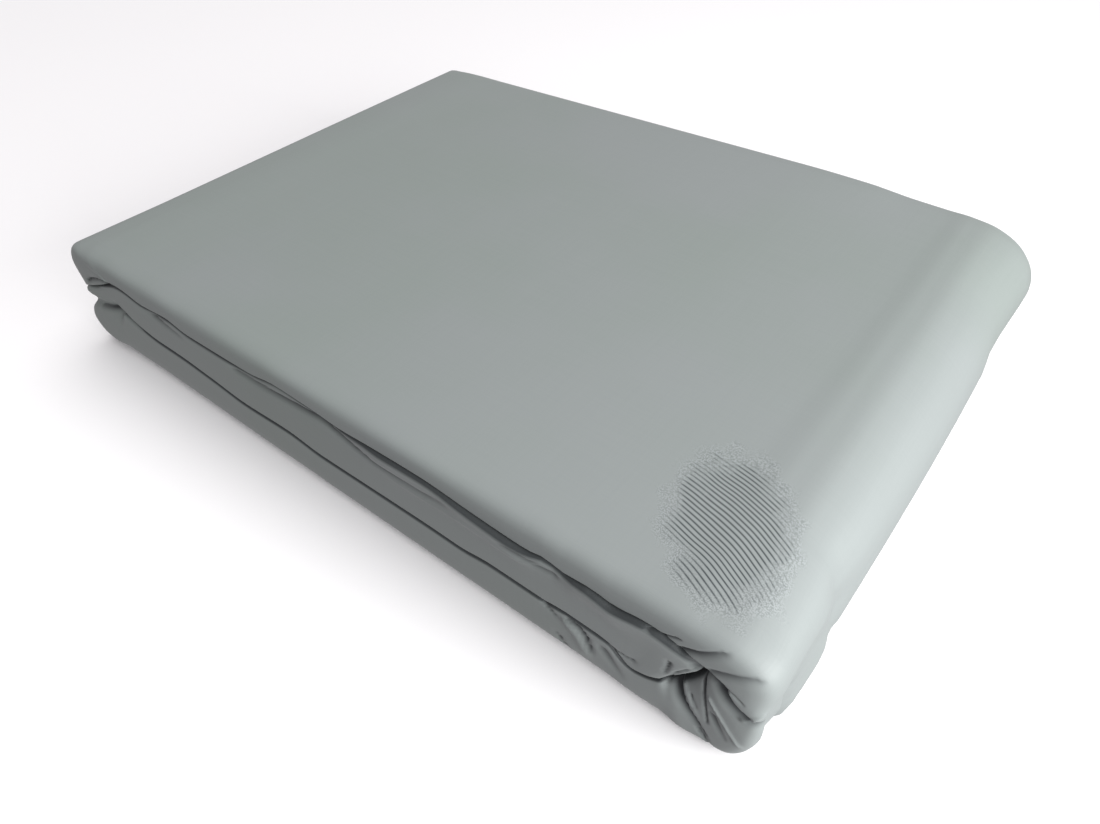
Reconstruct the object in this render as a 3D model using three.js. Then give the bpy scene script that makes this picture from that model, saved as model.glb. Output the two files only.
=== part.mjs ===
// A folded flat sheet: one thin sheet of cloth, folded to a strip of six layers and then wrapped
// over itself to a flat pack of three bands, with a round roll at its right end.
// Millimetres, +Z up, +X along the long side, -Y the near side where the folds show.
// The origin is at the middle of the underside.
import * as THREE from "three";

const NEAR_FACE = -122;
const FAR_FOLD = 122;
const HEIGHT = 57.9;

// Inside the pack the three bands are equally high. At the near side the top one is thin.
const BAND_HEIGHT = 18.8;
const BAND_GAP = 0.75;
const MID_LOW = BAND_HEIGHT + BAND_GAP;
const MID_HIGH = MID_LOW + BAND_HEIGHT;
const TOP_LOW = MID_HIGH + BAND_GAP;

// The cloth is a share of the pitch of its layers, within these limits. Pleats pull it thin.
const LAYERS = 6;
const CLOTH_SHARE = 0.58;
const CLOTH_LEAST = 1.0;
const CLOTH_MOST = 2.0;
const CLOTH_IN_PLEATS = 1.2;

// How far the seams between the bands lie from the cloth on each side of them.
const LIP_GAP = 0.8;
const SEAM_GAP = 0.35;

// The two turns inside the pack, as circles in the X-Z plane.
const RIGHT_TURN = { x: 139.2, z: HEIGHT / 2, inner: HEIGHT / 2 - BAND_HEIGHT, outer: HEIGHT / 2 };
const LEFT_TURN = { x: -160, z: BAND_HEIGHT + BAND_GAP / 2, inner: BAND_GAP / 2,
  outer: BAND_HEIGHT + BAND_GAP / 2 };

// The roll bows out in the middle of its length. The far top edge hangs, more so towards the roll.
const ROLL_BOW = 2.2;
const FAR_DROOP = 1.8;
const FAR_DROOP_AT_ROLL = 2.6;

// Lower edge of the top band's lip along the near side.
const LIP_EDGE = table(["x", "z"], [
  [-128, 48.2],
  [-107, 47.8],
  [-84, 46.3],
  [-62, 46.5],
  [-43, 47.0],
  [-26, 49.3],
  [-4, 48.9],
  [23, 48.6],
  [47, 49.3],
  [72, 47.4],
  [95, 46.6],
  [112, 46.4],
  [128, 47.4],
]);

// Seam between the middle and the bottom band along the near side.
const SEAM = table(["x", "z"], [
  [-131, 30.0],
  [-117, 27.6],
  [-100, 27.2],
  [-78, 25.6],
  [-57, 23.5],
  [-30, 24.2],
  [-10, 22.5],
  [31, 22.9],
  [60, 23.0],
  [78, 24.7],
  [95, 24.7],
  [112, 25.4],
  [127, 23.3],
]);

// Rows of the right turn, from the bottom band to the top one. angle is the place inside the pack.
// The near side fans out from the point inX, inZ to outX, outZ, and push sets its pleats in or out.
const RIGHT_FAN = table(["kind", "angle", "inX", "inZ", "outX", "outZ", "push"], [
  ["low", -90, 137, 22.6, 138, 0, 0],
  ["fan", -76, 140.5, 25.2, 146, 0, -0.4],
  ["fan", -62, 143.5, 28.4, 152.5, 0.2, -1.4],
  ["fan", -51, 146, 32, 157, 0.8, 1.6],
  ["fan", -40, 148, 36, 160.5, 2.6, 0.6],
  ["fan", -28, 149.3, 39, 164.8, 7, 3.2],
  ["fan", -14, 150.2, 41.5, 167.8, 15.5, 1.6],
  ["fan", 0, 150.6, 43, 168.4, 25.5, 1.6],
  ["fan", 14, 150.9, 43.9, 166.6, 33.6, -1.8],
  ["fan", 30, 150.6, 44.3, 169.6, 42.4, 0.6],
  ["lip", 50, 149.4, 44.9, 167, 51.4, 0.4],
  ["lip", 70, 146, 45.5, 159, 56.6, 0],
  ["lip", 90, 139.5, 46.9, 146, HEIGHT, 0],
]);

// Rows of the left turn, from the middle band to the bottom one. They all start at its near pivot.
const LEFT_PIVOT = { x: -140.4, z: 34.6 };
const LEFT_FAN = table(["kind", "angle", "outX", "outZ", "push"], [
  ["mid", 90, -151, 41.2, 0],
  ["fan", 112, -163, 36, 0.3],
  ["fan", 135, -175.4, 31.2, 0.8],
  ["fan", 158, -174.6, 27, -2.0],
  ["fan", 180, -181, 22.6, 0.8],
  ["fan", 203, -187, 13.2, 1.6],
  ["fan", 228, -185, 4.6, 1.6],
  ["fan", 250, -177, 0.8, 1.2],
  ["low", 270, -163, 0, 0.4],
]);

// Rows of the top band's left end, which is turned down over the left turn. They start at two
// small circles, one at the near side and one inside the pack.
const END_PIVOT = { x: -143, z: 47.4, radius: 0.7 };
const END_CORE_PIVOT = { x: -153, z: 39.4, radius: 0.7 };
const LEFT_END = table(["angle", "outX", "outZ", "push", "coreOutX", "coreOutZ"], [
  [90, -147, HEIGHT, 0, -150, HEIGHT],
  [100, -162, 57, 0.2, -161, 57.8],
  [120, -174.5, 54.4, 0.8, -169.5, 56.4],
  [145, -180.6, 49.4, 1.4, -174.6, 51.6],
  [165, -180.6, 43.8, 0.8, -177.1, 46.4],
  [185, -178.4, 38.2, -1.6, -178, 42],
  [200, -176.6, 33.4, 0, -178, 39.4],
]);

// Near fold of the strip, from its inner face (share 0) to its outer face (share 1).
// lip, mid, low and fan say how far behind the near face the cloth lies there, on each kind of row,
// and push how much of the row's pleat it takes.
const NEAR_FOLD = table(["share", "lip", "mid", "low", "fan", "push"], [
  [0.0, 1.4, 2.6, 2.6, 9.0, 0],
  [0.09, 0.0, 0.6, 0.6, 6.0, 0.5],
  [0.36, 0.6, 0.0, 0.0, 2.0, 1],
  [0.6, 2.0, 0.1, 0.3, 0.2, 1],
  [0.82, 4.4, 1.2, 1.9, 1.0, 1],
  [0.95, 7.8, 3.4, 4.8, 3.6, 0.7],
  [1.0, 12.0, 6.6, 9.2, 8.5, 0],
]);

// Places across the layers, as distances behind the near face. The second and third fold lie inside
// the first one.
const SHOULDER = 20;
const INNER_ZONE = 52;
const MIDDLE = 120;
const SECOND_FOLD = 8.6;
const SECOND_FOLD_BEND = 10.4;
const SECOND_FOLD_END = 16;
const THIRD_FOLD = 15;
const THIRD_FOLD_END = 18.5;
const HEM_INSET = 3;

// How much of the near side's shape reaches that far into the pack.
const NEAR_SHARE = table(["behind", "share"], [
  [0, 1],
  [INNER_ZONE, 0.3],
  [FAR_FOLD - NEAR_FACE, 0],
]);

// Spacing of the rows along the straight bands.
const ROW_STEP = 20.5;
const BAND_LEFT = -128;
const BAND_RIGHT = 126;

function table(names, rows) {
  return rows.map((row) => Object.fromEntries(names.map((name, i) => [name, row[i]])));
}

// The value of one column of a table at a place in its first column, with straight runs between rows.
function lookUp(rows, key, column, at) {
  if (at <= rows[0][key]) return rows[0][column];
  for (let i = 1; i < rows.length; i++) {
    if (at <= rows[i][key]) {
      const share = (at - rows[i - 1][key]) / (rows[i][key] - rows[i - 1][key]);
      return THREE.MathUtils.lerp(rows[i - 1][column], rows[i][column], share);
    }
  }
  return rows[rows.length - 1][column];
}

const lipEdge = (x) => lookUp(LIP_EDGE, "x", "z", x);
const seam = (x) => lookUp(SEAM, "x", "z", x);
const nearShare = (behind) => lookUp(NEAR_SHARE, "behind", "share", behind);
const point = (x, z) => new THREE.Vector2(x, z);

// A row of the strip: where its inner and outer face lie at the near side and inside the pack.
function makeRow(kind, nearIn, nearOut, coreIn, coreOut, push = 0) {
  return { kind, nearIn, nearOut, coreIn, coreOut, push };
}

function bandPlaces(from, to) {
  const count = Math.round(Math.abs(to - from) / ROW_STEP);
  return Array.from({ length: count + 1 }, (_, i) => THREE.MathUtils.lerp(from, to, i / count));
}

function turnPoint(turn, radius, degrees) {
  const angle = THREE.MathUtils.degToRad(degrees);
  return point(turn.x + radius * Math.cos(angle), turn.z + radius * Math.sin(angle));
}

function rightFanRows() {
  return RIGHT_FAN.map((row) => makeRow(row.kind, point(row.inX, row.inZ), point(row.outX, row.outZ),
    turnPoint(RIGHT_TURN, RIGHT_TURN.inner, row.angle), turnPoint(RIGHT_TURN, RIGHT_TURN.outer, row.angle),
    row.push));
}

function leftFanRows() {
  return LEFT_FAN.map((row) => makeRow(row.kind, turnPoint(LEFT_PIVOT, LEFT_TURN.inner, row.angle),
    point(row.outX, row.outZ), turnPoint(LEFT_TURN, LEFT_TURN.inner, row.angle),
    turnPoint(LEFT_TURN, LEFT_TURN.outer, row.angle), row.push));
}

// The middle band starts at the end that is tucked into the right turn. That end is slanted.
function midRows() {
  const end = makeRow("mid", point(136, 23.2), point(147, 43), point(132, MID_LOW), point(133, MID_HIGH));
  const next = makeRow("mid", point(130, 23.6), point(138, 45.9), point(127, MID_LOW), point(128, MID_HIGH));
  const rows = bandPlaces(BAND_RIGHT - 4, BAND_LEFT).map((x) => makeRow("mid",
    point(x, seam(x) + SEAM_GAP), point(x, lipEdge(x) - LIP_GAP), point(x, MID_LOW), point(x, MID_HIGH)));
  return [end, next, ...rows];
}

function lowRows() {
  return bandPlaces(BAND_LEFT, BAND_RIGHT).map((x) => makeRow("low",
    point(x, seam(x) - SEAM_GAP), point(x, 0), point(x, BAND_HEIGHT), point(x, 0)));
}

function topRows() {
  return bandPlaces(BAND_RIGHT, BAND_LEFT).map((x) => makeRow("lip",
    point(x, lipEdge(x)), point(x, HEIGHT), point(x, TOP_LOW), point(x, HEIGHT)));
}

function leftEndRows() {
  return LEFT_END.map((row) => makeRow("lip", turnPoint(END_PIVOT, END_PIVOT.radius, row.angle),
    point(row.outX, row.outZ), turnPoint(END_CORE_PIVOT, END_CORE_PIVOT.radius, row.angle),
    point(row.coreOutX, row.coreOutZ), row.push));
}

// The middle line of the cloth across one row, from the bottom layer's free edge to the third
// layer's. Each node has its distance behind the near face and its height as a share of the band.
function clothLine(row) {
  const far = FAR_FOLD - NEAR_FACE;
  const layer = (k) => 1 - (k - 1) / (LAYERS - 1);
  const nodes = [];
  const add = (behind, height, push = 0) => nodes.push({ behind: behind - push * row.push, height });
  const farFold = (upper, lower) => {
    const bend = BAND_HEIGHT / LAYERS / 2;
    add(far - bend, layer(upper));
    add(far, (layer(upper) + layer(lower)) / 2);
    add(far - bend, layer(lower));
  };
  add(far - HEM_INSET, layer(6));
  add(INNER_ZONE, layer(6));
  add(SHOULDER, layer(6));
  for (const fold of NEAR_FOLD) add(fold[row.kind], fold.share, fold.push);
  add(SHOULDER, layer(1));
  add(INNER_ZONE, layer(1));
  add(MIDDLE, layer(1));
  farFold(1, 2);
  add(INNER_ZONE, layer(2));
  add(SECOND_FOLD_END, layer(2));
  add(SECOND_FOLD_BEND, THREE.MathUtils.lerp(layer(2), layer(5), 0.15));
  add(SECOND_FOLD, (layer(2) + layer(5)) / 2);
  add(SECOND_FOLD_BEND, THREE.MathUtils.lerp(layer(2), layer(5), 0.85));
  add(SECOND_FOLD_END, layer(5));
  add(INNER_ZONE, layer(5));
  farFold(5, 4);
  add(INNER_ZONE, layer(4));
  add(THIRD_FOLD_END, layer(4));
  add(THIRD_FOLD, (layer(4) + layer(3)) / 2);
  add(THIRD_FOLD_END, layer(3));
  add(INNER_ZONE, layer(3));
  add(far - HEM_INSET, layer(3));
  return nodes;
}

// The band's inner and outer face at a distance behind the near face.
function faces(row, behind) {
  const share = nearShare(behind);
  return {
    inner: row.coreIn.clone().lerp(row.nearIn, share),
    outer: row.coreOut.clone().lerp(row.nearOut, share),
  };
}

// The bow of the roll and the droop of the far top edge, which grow smoothly towards the right end.
function loosen(p) {
  const along = THREE.MathUtils.smoothstep(p.x, 60, 160);
  const across = (p.y - NEAR_FACE) / (FAR_FOLD - NEAR_FACE);
  const bow = ROLL_BOW * along * 4 * across * (1 - across);
  const droop = (FAR_DROOP + FAR_DROOP_AT_ROLL * along) * across * across * (p.z / HEIGHT);
  return new THREE.Vector3(p.x + bow, p.y, p.z - droop);
}

// One closed ring round the cloth of a row: out along one side of its middle line and back.
function ring(row) {
  const nodes = clothLine(row).map((node) => {
    const { inner, outer } = faces(row, node.behind);
    const height = inner.distanceTo(outer);
    const pitch = height / LAYERS;
    const most = row.kind === "fan" ? CLOTH_IN_PLEATS : CLOTH_MOST;
    const cloth = THREE.MathUtils.clamp(pitch * CLOTH_SHARE, CLOTH_LEAST, most);
    const at = point(NEAR_FACE + node.behind, cloth / 2 + node.height * (height - cloth));
    return { inner, outer, height, cloth, at };
  });
  const place = (node, at) => {
    const share = THREE.MathUtils.clamp(at.y / node.height, 0, 1);
    const p = node.inner.clone().lerp(node.outer, share);
    return loosen(new THREE.Vector3(p.x, at.x, p.y));
  };
  const normal = (a, b) => {
    const along = b.at.clone().sub(a.at).normalize();
    return point(-along.y, along.x);
  };
  const side = (sign) => nodes.map((node, i) => {
    const before = i > 0 ? normal(nodes[i - 1], node) : normal(node, nodes[i + 1]);
    const after = i < nodes.length - 1 ? normal(node, nodes[i + 1]) : before;
    const mitre = before.clone().add(after).divideScalar(1 + before.dot(after));
    return place(node, node.at.clone().addScaledVector(mitre, (sign * node.cloth) / 2));
  });
  return [...side(-1), ...side(1).reverse()];
}

// Closes a free end of the strip with triangles between the two sides of the ring.
function endCap(count, start, faceBack) {
  const triangles = [];
  for (let i = 0; i < count / 2 - 1; i++) {
    const a = start + i;
    const b = start + i + 1;
    const c = start + count - 2 - i;
    const d = start + count - 1 - i;
    triangles.push(...(faceBack ? [a, c, b, a, d, c] : [a, b, c, a, c, d]));
  }
  return triangles;
}

// Joins the rings to one closed skin. Cloth that lies side by side is cut along the same diagonal,
// so that it stays parallel: both sides of a layer, and the bands on each side of a seam.
function sweep(rows, turnedBack) {
  const rings = rows.map(ring);
  const count = rings[0].length;
  const index = [...endCap(count, 0, false)];
  for (let r = 0; r + 1 < rings.length; r++) {
    for (let i = 0; i < count; i++) {
      const a = r * count + i;
      const b = r * count + ((i + 1) % count);
      const flipped = (i < count / 2) === (r < turnedBack);
      if (flipped) index.push(a, a + count, b, b, a + count, b + count);
      else index.push(a, a + count, b + count, a, b + count, b);
    }
  }
  index.push(...endCap(count, (rings.length - 1) * count, true));
  const geometry = new THREE.BufferGeometry().setFromPoints(rings.flat());
  geometry.setIndex(index);
  return geometry;
}

// Puts the origin at the middle of the underside.
function centreOnUnderside(geometry) {
  geometry.computeBoundingBox();
  const { min, max } = geometry.boundingBox;
  geometry.translate(-(min.x + max.x) / 2, -(min.y + max.y) / 2, -min.z);
  geometry.computeVertexNormals();
  return geometry;
}

const middleBand = midRows();
const strip = [
  ...middleBand,
  ...leftFanRows(),
  ...lowRows(),
  ...rightFanRows(),
  ...topRows(),
  ...leftEndRows(),
];
const leftTurnMiddle = middleBand.length + Math.floor(LEFT_FAN.length / 2);

const clothMaterial = new THREE.MeshStandardMaterial({ color: 0x9aa5a0, roughness: 0.72, metalness: 0 });
const sheet = new THREE.Mesh(centreOnUnderside(sweep(strip, leftTurnMiddle)), clothMaterial);
sheet.name = "folded_sheet";

const foldedSheet = new THREE.Group();
foldedSheet.add(sheet);
export default foldedSheet;
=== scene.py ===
"""A folded flat bed sheet on a pale studio floor.

One thin sheet of satiny cloth is folded to a strip of six layers, and the strip is wrapped over
itself to a flat pack of three bands. Lengths in the tables are millimetres: +X runs along the long
side towards the rolled end, -Y is the near side where the folds show, and +Z is up.
"""

import math
from collections import namedtuple

import bmesh
import bpy
import numpy as np
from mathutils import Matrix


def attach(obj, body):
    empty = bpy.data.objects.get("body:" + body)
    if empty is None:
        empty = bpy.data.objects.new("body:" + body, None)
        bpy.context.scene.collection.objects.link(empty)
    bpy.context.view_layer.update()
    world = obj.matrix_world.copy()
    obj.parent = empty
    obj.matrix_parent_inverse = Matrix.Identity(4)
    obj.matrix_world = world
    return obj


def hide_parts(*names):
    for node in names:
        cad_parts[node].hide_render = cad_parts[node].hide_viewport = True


bl_info = {
    "name": "Folded Flat Sheet",
    "version": (1, 0, 0),
    "blender": (4, 5, 0),
    "location": "3D View > Sidebar > Folded Sheet",
    "description": "Makes a folded flat sheet of satiny cloth and a plain studio for it",
    "category": "Object",
}

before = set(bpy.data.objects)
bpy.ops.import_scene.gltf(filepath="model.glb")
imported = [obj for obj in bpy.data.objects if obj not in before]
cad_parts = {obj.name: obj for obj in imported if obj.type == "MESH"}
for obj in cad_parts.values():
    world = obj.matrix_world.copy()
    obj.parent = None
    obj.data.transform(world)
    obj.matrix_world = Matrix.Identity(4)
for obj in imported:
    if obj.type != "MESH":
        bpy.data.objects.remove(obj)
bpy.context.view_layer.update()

MM = 0.001
PIECE = "folded_sheet_cloth"
# Attribute of the cloth: across and along the cloth, and its painted shade from creases and seams.
PLACE = "cloth_place_and_shade"

# The pack, measured before its middle is moved to the origin by CENTRE.
NEAR_FACE = -122
FAR_FOLD = 122
DEPTH = FAR_FOLD - NEAR_FACE
HEIGHT = 57.9
CENTRE = (7.765, 1.175, 0)
BAND_HEIGHT = 18.8
BAND_GAP = 0.75
MID_LOW = BAND_HEIGHT + BAND_GAP
MID_HIGH = MID_LOW + BAND_HEIGHT
TOP_LOW = MID_HIGH + BAND_GAP
LAYERS = 6

# How far the seams between the bands lie from the cloth on each side of them.
LIP_GAP = 0.35
SEAM_GAP = 0.2

# The turns of the strip as circles in the X-Z plane: the two turns inside the pack, and the small
# circles that the near side of the left turn and the end of the top band go round.
Turn = namedtuple("Turn", "x z inner outer", defaults=(0,))
RIGHT_TURN = Turn(139.2, HEIGHT / 2, HEIGHT / 2 - BAND_HEIGHT, HEIGHT / 2)
LEFT_TURN = Turn(-160, BAND_HEIGHT + BAND_GAP / 2, BAND_GAP / 2, BAND_HEIGHT + BAND_GAP / 2)
LEFT_PIVOT = Turn(-140.4, 34.6, BAND_GAP / 2)
END_PIVOT = Turn(-143, 47.4, 0.7)
END_CORE_PIVOT = Turn(-153, 39.4, 0.7)

# Ends of the straight part of each band, and where the small folds of the bottom band begin.
LEFT_STOP = -128
MID_STOP = 120
LOW_STOP = 132
TOP_STOP = 128
FOLDS_FROM = 88

KINDS = ("lip", "mid", "low", "fan", "turn", "end")


def table(columns, *rows):
    """A short table as one array for each named column."""
    names = columns.split()
    return namedtuple("Columns", names)(*(np.array(column) for column in zip(*rows)))


# Lower edge of the top band's lip along the near side.
LIP_EDGE = table(
    "x z",
    (-141, 48.1),
    (-132, 49.0),
    (-117, 46.9),
    (-107, 47.7),
    (-98, 48.5),
    (-84, 46.2),
    (-62, 46.5),
    (-43, 47.0),
    (-26, 49.6),
    (-4, 48.9),
    (8, 47.8),
    (23, 48.6),
    (47, 49.3),
    (72, 47.3),
    (90, 46.5),
    (97, 48.0),
    (104, 46.6),
    (113, 47.3),
    (121, 46.3),
    (130, 47.9),
)

# Seam between the middle and the bottom band along the near side.
SEAM = table(
    "x z",
    (-131, 29.8),
    (-117, 27.6),
    (-102, 27.4),
    (-78, 25.6),
    (-57, 23.4),
    (-30, 24.4),
    (-10, 22.4),
    (8, 22.7),
    (46, 23.2),
    (60, 22.9),
    (74, 24.7),
    (95, 24.6),
    (103, 25.7),
    (115, 25.4),
    (120, 24.6),
    (123, 21.2),
    (127, 18.8),
    (131, 19.4),
    (134, 21.2),
    (137, 22.6),
)

# How far the middle band's upper edge draws back under the lip, or stands out from under it.
UNDER_LIP = table(
    "x back",
    (-135, 0.0),
    (-122, 0.1),
    (-110, 0.7),
    (-98, 0.2),
    (-60, 0.2),
    (-44, 0.8),
    (-26, 1.0),
    (-6, 0.8),
    (8, 0.4),
    (18, -0.2),
    (30, -1.1),
    (52, -0.9),
    (66, -1.5),
    (84, -1.9),
    (92, -1.0),
    (100, 0.0),
    (110, -1.4),
    (122, -2.0),
    (130, -1.4),
)

# Rows of the right turn, from the bottom band to the top one. angle is the place inside the pack.
# The near side fans out from the point in_x, in_z to out_x, out_z. push sets its pleats in or out.
RIGHT_FAN = (
    # kind, angle, in_x, in_z, out_x, out_z, push
    ("low", -90, 137, 22.6, 138, 0, 0),
    ("fan", -76, 139.4, 24.2, 146, 0, 0),
    ("fan", -62, 142.6, 27.4, 153.2, 0, -0.6),
    ("fan", -51, 145.2, 31, 157.6, 0.2, -0.5),
    ("fan", -40, 147.2, 35, 161, 2.0, -0.2),
    ("fan", -28, 148.8, 38.4, 164.2, 6.9, 0.1),
    ("fan", -14, 149.8, 41.2, 166.9, 15.7, 0.3),
    ("fan", 0, 150.4, 43, 167.6, 25.5, 0.1),
    ("fan", 14, 150.9, 44.2, 167.2, 33.6, 0.1),
    ("lip", 30, 150.6, 44.6, 168.8, 42.4, 0.2),
    ("lip", 50, 148.6, 44.9, 167, 51.4, 0.1),
    ("lip", 70, 144, 45.7, 159, 56.6, 0),
    ("lip", 90, 138, 47.6, 146, HEIGHT, 0),
)

# Rows of the middle band's rounded end, which is tucked into the right turn. Inside the pack it
# slants by MID_SLANT.
MID_SLANT = 1
MID_END = (
    # in_x, in_z, out_x, out_z, core_x, push, under
    (136.8, 22.6, 149.6, 41.4, 134, -2.4, 0),
    (136.4, 22.6, 149.4, 41.9, 133, -0.8, 0),
    (135.4, 22.2, 148.6, 42.7, 132, 0, 0),
    (133.0, 20.8, 146.0, 44.0, 130, 0.3, -0.2),
    (130.0, 19.4, 141.4, 45.6, 128, 0.2, -0.8),
    (127.0, 19.0, 134.0, 47.6, 125.5, 0, -1.4),
)

# Rows of the left turn, from the middle band to the bottom one, round the small circle LEFT_PIVOT.
LEFT_FAN = (
    # kind, angle, out_x, out_z, push
    ("mid", 90, -151, 43.4, 0),
    ("turn", 112, -163, 38.6, 0.3),
    ("turn", 135, -177.2, 32.6, 0.6),
    ("turn", 158, -175.4, 26.7, -1.5),
    ("turn", 180, -181.8, 19.6, 0.8),
    ("turn", 203, -185.8, 11.4, 1.2),
    ("turn", 228, -182.6, 4.6, 1.2),
    ("turn", 250, -174, 1.6, 1.0),
    ("low", 270, -161, 0, 0.4),
)

# Rows of the top band's left end, turned down over the left turn, round two small circles.
LEFT_END = (
    # angle, out_x, out_z, push, core_x, core_z
    (90, -147, HEIGHT, 0, -150, HEIGHT),
    (100, -161, 57.5, 0.2, -160, 57.4),
    (120, -173.2, 55.2, 0.2, -168.5, 56.2),
    (145, -178.8, 49.2, 0.4, -173.6, 51.4),
    (165, -182.0, 43.2, 0.1, -176.4, 46.4),
    (185, -182.8, 36.8, -0.2, -178, 42),
    (200, -181.4, 31.4, 0, -178, 39.4),
)

# Near fold of the strip, from its inner face (share 0) to its outer face (share 1): how far behind
# the near face the cloth lies on each kind of row, how much of the row's pleat it takes, and how
# much of the middle band's draw under the lip.
NEAR_FOLD = (
    # share, lip, mid, low, fan, turn, end, push, under
    (0.0, 1.2, 1.2, 1.3, 4.0, 6.0, 4.0, 0, 0),
    (0.03, 0.1, 0.1, 0.15, 2.2, 3.6, 1.4, 0.5, 0),
    (0.14, 0.0, 0.0, 0.0, 0.9, 2.2, 0.5, 0.8, 0),
    (0.36, 0.0, 0.0, 0.0, 0.1, 0.8, 0.3, 1, 0),
    (0.6, 0.3, 0.0, 0.2, 0.0, 0.2, 0.4, 1, 0.15),
    (0.82, 1.6, 0.05, 1.0, 0.3, 0.2, 1.2, 1, 0.7),
    (0.95, 4.4, 0.3, 2.9, 1.7, 1.6, 2.6, 0.7, 1),
    (1.0, 9.5, 2.4, 7.0, 5.6, 5.5, 6.2, 0, 1),
)

# Places across the strip, as how far behind the near face they lie: the end of the near fold, which
# has SHOULDER_PLACES of them, the stops of the inner layers, and how far the hems stay from the far side.
SHOULDER = 22
SHOULDER_PLACES = 37
INNER_STOP = 36
INNER_ZONE = 52
MIDDLE_STOPS = (130,)
HEM_INSET = 3

# Near folds of the inner layers: how far behind the near face, and how much of the way from one layer
# to the other. The far folds are round, with a point at each of FAR_FOLD_ANGLES.
SECOND_FOLD = ((16, 0), (10.4, 0.15), (8.6, 0.5), (10.4, 0.85), (16, 1))
THIRD_FOLD = ((18.5, 0), (15, 0.5), (18.5, 1))
FAR_FOLD_ANGLES = (-90, -55, -20, 20, 55, 90)

# How much of the near side's shape reaches that far into the pack.
NEAR_SHARE = table("behind share", (0, 1), (26, 0.62), (52, 0.3), (120, 0.1), (DEPTH, 0))

# Thickness of the cloth as a share of the pitch of its layers, and the least it may be. It is drawn
# thin at the near side and lies puffed up at the far folds.
CLOTH_SHARE = table("behind share", (0, 0.34), (60, 0.4), (200, 0.66), (DEPTH, 0.74))
CLOTH_LEAST = 0.55

# The inner side of the outer layer and of its near fold is hidden, so it keeps only every third place.
HIDDEN_STEP = 3

# Depth at which a sharp crease takes its full painted shade, a darker colour in place of the shadow in it.
FULL_SHADE_DEPTH = 1.1

# Painted shade in the seams between the bands, as shares of a near fold's height over which it fades: at
# the inner edge of the bottom band and the fan, and at the middle band's edge under the lip.
SEAM_SHADE_SHARE = 0.04
LIP_SEAM_SHADE_SHARE = 1.6 * SEAM_SHADE_SHARE

# Spacing of the rows and of the places across the outer layer. The way from row to row is taken as
# LEAST_WAY or more, and for their number the way inside the pack counts by CORE_WAY.
FINE_STEP = 1.5
TURN_STEP = 1.9
BAND_STEP = 3.4
CONTROL_STEP = 4
LEAST_WAY = 0.5
CORE_WAY = 0.6
OUTER_PLACES = np.concatenate([np.linspace(SHOULDER, 50, 8), np.linspace(60, 236, 13)])

# A row across the strip: X and Z of its inner and outer face at the near side and inside the pack, how
# far its pleat and its edge under the lip are set, and how far apart the rows beside it may be.
Row = namedtuple("Row", "kind near_in near_out core_in core_out push under step")
Crease = namedtuple("Crease", "path start end before after roundness", defaults=(1,))

# Ways in which creases are pressed in: the two axes that their paths are measured on, and the push.
Side = namedtuple("Side", "axes push")
SLANT = math.sqrt(0.5)
NEAR_SIDE = Side(((1, 0, 0), (0, 0, 1)), (0, 1, 0))
TOP_SIDE = Side(((1, 0, 0), (0, 1, 0)), (0, 0, -1))
EDGE_SIDE = Side(((1, 0, 0), (0, SLANT, SLANT)), (0, SLANT, -SLANT))
ROLL_SIDE = Side(((0, 1, 0), (0, 0, 1)), (-1, 0, 0))

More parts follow.
